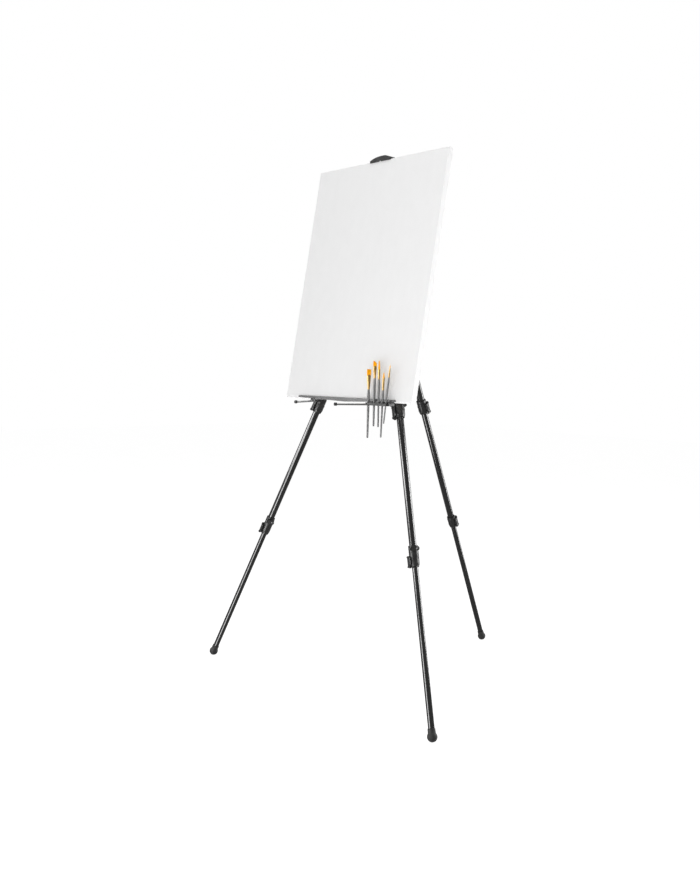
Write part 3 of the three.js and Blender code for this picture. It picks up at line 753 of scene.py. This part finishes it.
def build_knee(name, place, lever_turn, bolt_turn):
    """The knee's clamp and lever, and on the front legs the lug and its cross bolt."""
    middle = f"{name}_leg_middle"
    knee = place @ at(0, 0, -TO_KNEE_CLAMP) @ turn(lever_turn)
    front = bolt_turn is not None
    clamp_and_lever(
        f"{name}_leg_knee", knee, middle, f"{name}_leg_knee_lever", KNEE_SLEEVE,
        FRONT_KNEE_HEIGHT if front else REAR_KNEE_HEIGHT,
        (MIDDLE_TUBE[0] + GAP, LOWER_TUBE[0] + GAP),
        FRONT_KNEE_LEVER if front else REAR_KNEE_LEVER,
        knee_lug(KNEE_SLEEVE, bolt_turn - lever_turn) if front else [],
    )
    if front:
        bolt = build(f"{name}_leg_knee_bolt", knee_bolt_shapes(KNEE_SLEEVE),
                     knee @ turn(bolt_turn - lever_turn), DARK_STEEL, middle,
                     [f"{name}_leg_knee_bolt"])
        bevel(bolt, 0.2, 2)


def build_leg(name, azimuth, lever_turn, bolt_turn):
    place = limb_place(azimuth)
    upper, middle, lower = (f"{name}_leg_{part}" for part in ("upper", "middle", "lower"))
    build_tube(f"{upper}_tube", UPPER_TUBE, -TO_UPPER_CLAMP - TUBE_SEAT, -UPPER_TUBE_START,
               place, upper)
    build_tube(f"{middle}_tube", MIDDLE_TUBE, -TO_KNEE_CLAMP - TUBE_SEAT,
               -TO_UPPER_CLAMP + TUBE_OVERLAP, place, middle)
    build_tube(f"{lower}_tube", LOWER_TUBE, -LEG_LENGTH - TUBE_IN_FOOT,
               -TO_KNEE_CLAMP + TUBE_OVERLAP, place, lower)
    carry_over(f"{name}_leg_head", CLAMP)
    build_upper_clamp(name, place, lever_turn, has_collar=name == "rear")
    build_knee(name, place, lever_turn, bolt_turn)
    build_foot(name, place)


# ---- hub, mast and top jaw ----------------------------------------------------------
def build_hub_and_mast():
    carry_over("hub_body", CLAMP, 0.8)
    carry_over("hub_cap", CLAMP, 0.5)
    for name, *_ in LEGS:
        carry_over(f"{name}_leg_pivot_pin", DARK_STEEL, 0.4)
    build_tube("mast_tube", MAST_TUBE, MAST_TUBE_FOOT, MAST_TUBE_TOP, HUB, "head")
    build_tube("mast_rod", MAST_ROD, MAST_ROD_FOOT, MAST_ROD_TOP - GAP, HUB, "mast")
    plug = soften([(0, -4), (13.2, -4), (13.2, -1), (10, 0), (9.6, 12), (0, 12)], 0.5)
    build("mast_end_plug", [lathe(plug, 48)], HUB @ at(0, 0, MAST_TUBE_FOOT), RUBBER, "head")
    place = HUB @ at(0, 0, MAST_TUBE_TOP - TUBE_SEAT) @ turn(MAST_LEVER_TURN) @ turn(180, "X")
    clamp_and_lever("mast", place, "head", "mast_lever", MAST_SLEEVE, MAST_CLAMP_HEIGHT,
                    (MAST_TUBE[0] + GAP, MAST_ROD[0] + GAP), MAST_LEVER)
    carry_over("top_holder", CLAMP, 0.6)
    carry_over("top_jaw", CLAMP, 0.7)


# ---- canvas supports ----------------------------------------------------------------
def build_support(name, azimuth):
    place = support_place(azimuth)
    upper, rod_body = f"{name}_leg_upper", f"{name}_support_rod"
    carry_over(f"{name}_support_bracket", CLAMP, 0.5)
    lying = place @ turn(90, "Y")
    radius, low, high = SUPPORT_SOCKET
    rod, rod_from, rod_out = SUPPORT_ROD
    socket = soften([(0, low), (radius, low), (radius, high - 5), (radius + 0.6, high - 4.4),
                     (radius + 0.6, high), (rod + GAP, high), (rod + GAP, rod_from - GAP),
                     (0, rod_from - GAP)], 0.4)
    build(f"{name}_support_socket", [lathe(socket, 48)], lying, CLAMP, upper,
          [f"{name}_support_socket"])
    build(f"{name}_support_rod", [bar(rod, rod_from, rod_out, 0.4, 40)], lying, BRIGHT_STEEL,
          rod_body, [f"{name}_support_rod"])
    outer = SUPPORT_CAP_RADIUS
    cap = [(0, rod_out + GAP), (rod + GAP, rod_out + GAP), (rod + GAP, rod_out - 6),
           (outer - 0.6, rod_out - 6), (outer, rod_out - 5.2), (outer, rod_out - 2.4),
           (outer - 0.4, rod_out - 2), (outer - 0.4, rod_out - 1.4), (outer, rod_out - 1),
           (outer, rod_out + 1.6), (outer - 1.4, rod_out + 3), (0, rod_out + 3)]
    build(f"{name}_support_cap", [lathe(soften(cap, 0.4), 48)], lying, RUBBER, rod_body,
          [f"{name}_support_cap"])


# ---- brushes ------------------------------------------------------------------------
# x, lean in degrees, height of the tip and of the handle's end, ferrule and bristle together,
# bristle, handle radius, bristle width and head
BRUSHES = (
    (129.3, 0.3, 1046, 830, 62, 19, 4.4, 12.4, "flat"),
    (154.6, 0.3, 1073.5, 868, 54, 19, 4.3, 10.6, "angled"),
    (173.7, -0.2, 1073.5, 866.5, 58, 30, 3.8, 6.8, "filbert"),
    (190.4, 2.2, 1036.7, 834.7, 54, 18, 3.6, 6.6, "filbert"),
    (204.9, 7.2, 1065, 878, 42, 15, 3.2, 3.2, "liner"),
)
HEAD_TURN = 40                     # the heads' broad side, round from the front
FLAT_HEADS = ("flat", "angled")
HAIRS = {"flat": 420, "angled": 380, "filbert": 240, "liner": 80}
# how far apart the tips stay, against the hairs' feet
TIP_WIDTH = {"flat": 1.0, "angled": 0.95, "filbert": 0.55, "liner": 0.15}
CRIMP_DEPTH, CRIMP_WIDTH = 0.28, 0.55


def between(a, b, c, d, t):
    """The value at t from 0 to 1 between b and c, on a smooth curve through all four."""
    cubic = (3 * b - a - 3 * c + d) * t**3
    return 0.5 * (2 * b + (c - a) * t + (2 * a - 5 * b + 4 * c - d) * t * t + cubic)


def smooth_profile(points, steps):
    """A curve through the given (radius, z) points."""
    out = []
    for i in range(len(points) - 1):
        p0, p1 = points[max(i - 1, 0)], points[i]
        p2, p3 = points[i + 1], points[min(i + 2, len(points) - 1)]
        for k in range(steps):
            out.append(tuple(between(*four, k / steps) for four in zip(p0, p1, p2, p3)))
    out.append(points[-1])
    return [(max(r, 0), z) for r, z in out]


def oval_loft(rows, segments=40):
    """A closed loft of ovals, each (half width, half thickness, z)."""
    angles = [2 * math.pi * k / segments for k in range(segments)]
    return loft([[(wide * math.cos(a), thick * math.sin(a), z) for a in angles]
                 for wide, thick, z in rows])


def bristle_height(kind, across):
    """The head's outline: how high a hair at -1 to 1 across the width stands, from 0 to 1."""
    if kind == "flat":
        return 1 - 0.03 * across * across
    if kind == "angled":
        return 0.82 - 0.18 * across
    if kind == "filbert":
        return 0.55 + 0.45 * math.sqrt(max(0, 1 - across * across))
    return 0.35 + 0.65 * (1 - abs(across)) ** 1.2


def bristles(kind, width, thick, base, length, seed):
    """A bundle of tapered hairs whose tips follow the head's outline."""
    draw = random.Random(seed)
    gather = TIP_WIDTH[kind]
    radius = 0.22 if kind == "liner" else 0.34
    stations = (0, 0.5, 0.85, 1)
    points, faces = [], []
    for _ in range(HAIRS[kind]):
        angle, share = draw.uniform(0, 2 * math.pi), math.sqrt(draw.random())
        if kind in FLAT_HEADS:
            across, deep = draw.uniform(-1, 1), draw.uniform(-1, 1)
        else:
            across, deep = share * math.cos(angle), share * math.sin(angle)
        top = base + length * bristle_height(kind, across) * (1 - 0.05 * draw.random())
        spread = 0.98 + 0.03 * draw.random()
        foot = (across * width * 0.46, deep * thick * 0.46)
        tip = (across * width * 0.5 * spread * gather, deep * thick * 0.4 * gather)
        rings = []
        for t in stations:
            bulge = 1 + 0.12 * math.sin(math.pi * t)
            x = (foot[0] + (tip[0] - foot[0]) * t) * bulge
            y = (foot[1] + (tip[1] - foot[1]) * t) * bulge
            r = radius * (1 - 0.75 * t)
            turns = [math.pi / 2 * k + angle for k in range(4)]
            z = base + (top - base) * t
            rings.append([(x + r * math.cos(a), y + r * math.sin(a), z) for a in turns])
        hair_points, hair_faces = loft(rings)
        start = len(points)
        points += hair_points
        faces += [tuple(start + i for i in face) for face in hair_faces]
    return points, faces


def handle_shape(low, joint, radius, neck):
    length = joint - low
    profile = [(0, low), (radius * 0.46, low + 0.5), (radius * 0.66, low + 3),
               (radius * 0.72, low + 20), (radius * 0.82, low + length * 0.45),
               (radius * 0.97, low + length * 0.78), (radius * 0.99, low + length * 0.88),
               (neck, joint), (neck * 0.9, joint + 4), (0, joint + 4)]
    return lathe(smooth_profile(profile, 8), 40)


def ferrule_shape(joint, mouth, neck, width, thick):
    """From round at the handle to the bristles' width, with two crimped grooves."""
    crimps = (joint + 3, joint + 6)
    rows, steps = [], 46
    for k in range(steps + 1):
        t = k / steps
        z = joint - 1 + (mouth + 2.5 - joint) * t
        eased = t * t * (3 - 2 * t)
        wide = neck + 0.45 + (width / 2 - neck - 0.2) * eased
        deep = neck + 0.45 + (thick / 2 - neck - 0.2) * eased
        groove = sum(CRIMP_DEPTH * math.exp(-((z - c) / CRIMP_WIDTH) ** 2) for c in crimps)
        rows.append((wide - groove, deep - groove, z))
    return oval_loft(rows)


def bristle_core(kind, width, thick, mouth, bristle):
    """A solid form inside the hairs, so that nothing shows through them."""
    narrow = 0.42 if kind in FLAT_HEADS else 0.27
    rows = [(width * 0.46, thick * 0.42, mouth - 1), (width * 0.47, thick * 0.42, mouth + 3),
            (width * narrow, thick * 0.25, mouth + bristle * 0.6)]
    return oval_loft(rows, 20)


def build_brush(number, level, row):
    x, lean, top, bottom, head, bristle, radius, width, kind = BRUSHES[number - 1]
    name = f"brush_{number}"
    high, low = top - level, bottom - level
    joint, mouth = high - head, high - bristle
    neck = radius * 0.78
    thick = 3.6 if kind in FLAT_HEADS else width * 0.8
    place = HUB @ at(x, row, level) @ turn(lean, "Y")
    turned = place @ turn(HEAD_TURN)
    build(f"{name}_handle", [handle_shape(low, joint, radius, neck)], place, HANDLE, name, [name])
    build(f"{name}_ferrule", [ferrule_shape(joint, mouth, neck, width, thick)], turned, FERRULE,
          name, smooth_angle=60)
    hairs = bristles(kind, width, thick, mouth - 1, bristle + 1, number)
    core = bristle_core(kind, width, thick, mouth, bristle)
    build(f"{name}_bristles", [hairs, core], turned, BRISTLE, name)


def build_ledge():
    carry_over("ledge_rail", LEDGE, 0.5)
    carry_over("brush_holder", HOLDER, 0.6)
    level = sum(HOLDER_HEIGHTS) / 2
    back = (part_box("brush_holder")[1].y - AXIS_Y) / MM
    for number in range(1, len(BRUSHES) + 1):
        build_brush(number, level, back - HOLE_ROW)


# ---- canvas -------------------------------------------------------------------------
WRAP = 25                          # how far the cloth reaches onto the back
CLOTH_EDGE = 1.6                   # the rounding where it turns onto the sides and the back
STAPLE = (10, 0.55)                # crown and wire
STAPLE_INSET, STAPLE_PITCH, STAPLE_END = 15, 75, 45


def rectangle(inset, y, corner=1.2, per_side=16):
    """A ring of points round the canvas at depth y, inset from its outline."""
    half, height = CANVAS_SIZE[0] / 2, CANVAS_SIZE[1]
    radius = max(corner - inset, 0.4)
    left, right = -half + inset + radius, half - inset - radius
    low, high = inset + radius, height - inset - radius
    centres = ((right, low, -90), (right, high, 0), (left, high, 90), (left, low, 180))
    ring = []
    for k, (x, z, start) in enumerate(centres):
        ring += arc((x, z), radius, start, start + 90, 4)
        last, (nx, nz, next_start) = ring[-1], centres[(k + 1) % 4]
        first = arc((nx, nz), radius, next_start, next_start + 90, 4)[0]
        for i in range(1, per_side):
            t = i / per_side
            ring.append((last[0] + (first[0] - last[0]) * t, last[1] + (first[1] - last[1]) * t))
    return [(x, y, z) for x, z in ring]


def cloth_rings():
    """Rings from the middle of the face, over the sides onto the back, and back inside."""
    depth, edge = CANVAS_DEPTH, CLOTH_EDGE
    rings = [rectangle(inset, 0) for inset in (120, 40, edge + 1)]
    for k in range(5):
        turned = math.radians(90 * k / 4)
        rings.append(rectangle(edge * (1 - math.sin(turned)), edge * (1 - math.cos(turned))))
    for y in (6, 11, 15):
        rings.append(rectangle(0, y))
    for k in range(5):
        turned = math.radians(90 * k / 4)
        y = depth + 0.4 - edge * (1 - math.sin(turned))
        rings.append(rectangle(edge * (1 - math.cos(turned)), y))
    rings += [rectangle(WRAP * 0.6, depth + 0.5), rectangle(WRAP, depth + 0.35)]
    rings += [rectangle(WRAP, depth + 0.05), rectangle(CLOTH, depth + 0.05)]
    rings += [rectangle(inset, CLOTH) for inset in (CLOTH, 40, 120)]
    return rings


def corner_folds():
    """The tucked layer of cloth on each side face, at its two ends."""
    half, height = CANVAS_SIZE[0] / 2, CANVAS_SIZE[1]
    shapes = []
    for side in (-1, 1):
        for end, up in ((0, 1), (height, -1)):
            outline = [(1.5, end + up * 1.2), (18.6, end + up * 1.2), (18.6, end + up * 21),
                       (3.5, end + up * 4.2)]
            points, faces = prism(outline, *sorted((side * (half - 0.4), side * (half + 0.35))))
            shapes.append(([(x, y, z) for y, z, x in points], faces))
    return shapes


def staple(x, z, degrees):
    """A flat-crowned staple on the back, with its legs going into the wood."""
    crown, wire = STAPLE
    top = CANVAS_DEPTH + 0.45
    parts = [block((-crown / 2, crown / 2), (top, top + wire), (-wire, wire))]
    for end in (-crown / 2, crown / 2 - wire):
        parts.append(block((end, end + wire), (top - 3, top + wire), (-wire, wire)))
    place = at(x, 0, z) @ turn(degrees, "Y")
    return [moved(part, place) for part in parts]


def staple_row(length):
    """Even places along a side of the back."""
    count = int((length - 2 * STAPLE_END) / STAPLE_PITCH)
    return [STAPLE_END + (length - 2 * STAPLE_END) * k / count for k in range(count + 1)]


def staples():
    """A row along each side of the back, turned a little, no two quite alike."""
    draw = random.Random(11)
    width, height = CANVAS_SIZE
    half = width / 2
    spots = []
    for side in (-1, 1):
        spots += [(side * (half - STAPLE_INSET), z, 90) for z in staple_row(height)]
    for z in (STAPLE_INSET, height - STAPLE_INSET):
        spots += [(x - half, z, 0) for x in staple_row(width)]
    shapes = []
    for x, z, degrees in spots:
        shift = draw.uniform(-2.5, 2.5)
        shapes += staple(x + shift, z + draw.uniform(-2.5, 2.5), degrees + draw.uniform(-14, 14))
    return shapes


def corner_keys():
    """Two wedges in each inner corner of the frame."""
    half, height = CANVAS_SIZE[0] / 2 - STRETCHER_WIDTH, CANVAS_SIZE[1]
    shapes = []
    for sx in (-1, 1):
        for end, up in ((STRETCHER_WIDTH, 1), (height - STRETCHER_WIDTH, -1)):
            for flip in (0, 1):
                wedge = prism([(0, -2), (24, -5.5), (24, 3), (0, 1.5)], -1.7, 1.7)
                lie = turn(90, "X") @ turn(45 if flip else 12)
                spot = at(sx * (half - 1), 9 + 5 * flip, end - up)
                facing = Matrix.Diagonal((-sx, 1, up, 1))
                shapes.append(moved(wedge, spot @ facing @ lie))
    return shapes


def build_canvas():
    bars = {"bottom": PINE_X, "top": PINE_X, "left": PINE_Z, "right": PINE_Z}
    for name, wood in bars.items():
        carry_over(f"stretcher_{name}", wood, 1.2)
    cloth = build("canvas_cloth_wrapped", [loft(cloth_rings())], CANVAS, CLOTH_WHITE, "canvas",
                  ["canvas_cloth"])
    folds = build("canvas_corner_folds", corner_folds(), CANVAS, CLOTH_WHITE, "canvas")
    bevel(folds, 0.4, 3)
    made = build("canvas_staples", staples(), CANVAS, BRIGHT_STEEL, "canvas")
    bevel(made, 0.15, 2)
    made = build("stretcher_keys", corner_keys(), CANVAS, PINE_X, "canvas")
    bevel(made, 0.5, 2)


# ---- floor, light and camera --------------------------------------------------------
FLOOR_HALF = 12                    # metres, as the lights' places and sizes are
DIM, FULL = 0.2, 1.0               # the white world, to everything else and to the camera
CAMERA_SPOT = (2133.4, -2220.9, 1037.0)    # from the hub's axis
CAMERA_TURN = (45.71, -4.49, 1.17)         # azimuth, pitch and roll, in degrees
CAMERA_LENS = 36.93


def build_floor():
    """Nearly white, and not mirrored by the dark tubes."""
    mesh = bpy.data.meshes.new("floor")
    corners = [(-1, -1), (1, -1), (1, 1), (-1, 1)]
    mesh.from_pydata([(x * FLOOR_HALF, y * FLOOR_HALF, 0) for x, y in corners], [],
                     [(0, 1, 2, 3)])
    floor = bpy.data.objects.new("floor", mesh)
    floor.location.z = -0.0005
    bpy.context.scene.collection.objects.link(floor)
    paint = Paint("pale_floor", Roughness=0.8, Emission_Strength=0.9,
                  Emission_Color=(1, 1, 1, 1))
    tone = paint.ramp(paint.noise(3, 4), (0.3, grey(0.4)), (0.7, grey(0.43)))
    paint.set("Base Color", tone)
    mesh.materials.append(paint.material)
    floor.visible_glossy = False


def build_world():
    world = bpy.data.worlds.new("studio")
    bpy.context.scene.world = world
    world.use_nodes = True
    tree = world.node_tree
    background = tree.nodes["Background"]
    rays = tree.nodes.new("ShaderNodeLightPath")
    level = tree.nodes.new("ShaderNodeMapRange")
    level.inputs["To Min"].default_value = DIM
    level.inputs["To Max"].default_value = FULL
    tree.links.new(rays.outputs["Is Camera Ray"], level.inputs["Value"])
    tree.links.new(level.outputs["Result"], background.inputs["Strength"])
    background.inputs["Color"].default_value = (1, 1, 1, 1)


def area_light(name, spot, size, power, target, diffuse=True, glossy=True):
    light = bpy.data.lights.new(name, "AREA")
    light.shape = "RECTANGLE"
    light.size, light.size_y = size
    light.energy = power
    made = bpy.data.objects.new(name, light)
    made.location = spot
    made.visible_diffuse = diffuse
    made.visible_glossy = glossy
    aim = Vector(target) - Vector(spot)
    made.rotation_euler = aim.to_track_quat("-Z", "Y").to_euler()
    bpy.context.scene.collection.objects.link(made)


def build_lights():
    """Light for the matt surfaces, strips that only show as streaks on gloss, and both."""
    area_light("key", (1.2, -2.5, 0.6), (1.6, 1.4), 30, (0.1, -0.3, 1.1), glossy=False)
    area_light("right_fill", (2.9, -0.2, 1.2), (0.8, 1.2), 16, (0.2, -0.2, 1.2), glossy=False)
    area_light("front_strip", (-0.1, -2.9, -0.6), (1.0, 3.2), 90, (-0.1, 0, -0.6), diffuse=False)
    area_light("left_strip", (-1.35, -2.6, 1.45), (1.9, 0.9), 50, (0.2, -0.4, 0.8), diffuse=False)
    area_light("right_strip", (2.0, 1.6, 1.4), (0.5, 1.5), 34, (0.2, -0.2, 0.8), diffuse=False)
    area_light("rim_strip", (1.35, 2.6, 0.9), (0.5, 1.8), 34, (0.1, 0.1, 0.7))
    area_light("overhead", (0.0, -0.6, 3.6), (2.4, 2.4), 30, (0, 0, 0))


def build_camera():
    azimuth, pitch, roll = (math.radians(angle) for angle in CAMERA_TURN)
    forward = Vector((-math.sin(azimuth) * math.cos(pitch), math.cos(azimuth) * math.cos(pitch),
                      math.sin(pitch)))
    right = Vector((math.cos(azimuth), math.sin(azimuth), 0))
    up = right.cross(forward)
    turned_right = right * math.cos(roll) + up * math.sin(roll)
    turned_up = up * math.cos(roll) - right * math.sin(roll)
    data = bpy.data.cameras.new("camera")
    data.sensor_width = 36
    data.lens = CAMERA_LENS
    data.clip_end = 60
    camera = bpy.data.objects.new("camera", data)
    basis = Matrix((turned_right, turned_up, -forward)).transposed().to_4x4()
    camera.matrix_world = HUB @ at(*CAMERA_SPOT) @ basis
    bpy.context.scene.collection.objects.link(camera)
    bpy.context.scene.camera = camera
    bpy.context.scene.view_settings.view_transform = "Standard"


build_floor()
build_world()
build_lights()
build_camera()
for leg in LEGS:
    build_leg(*leg)
build_hub_and_mast()
for leg in LEGS[:2]:
    build_support(*leg[:2])
build_ledge()
build_canvas()
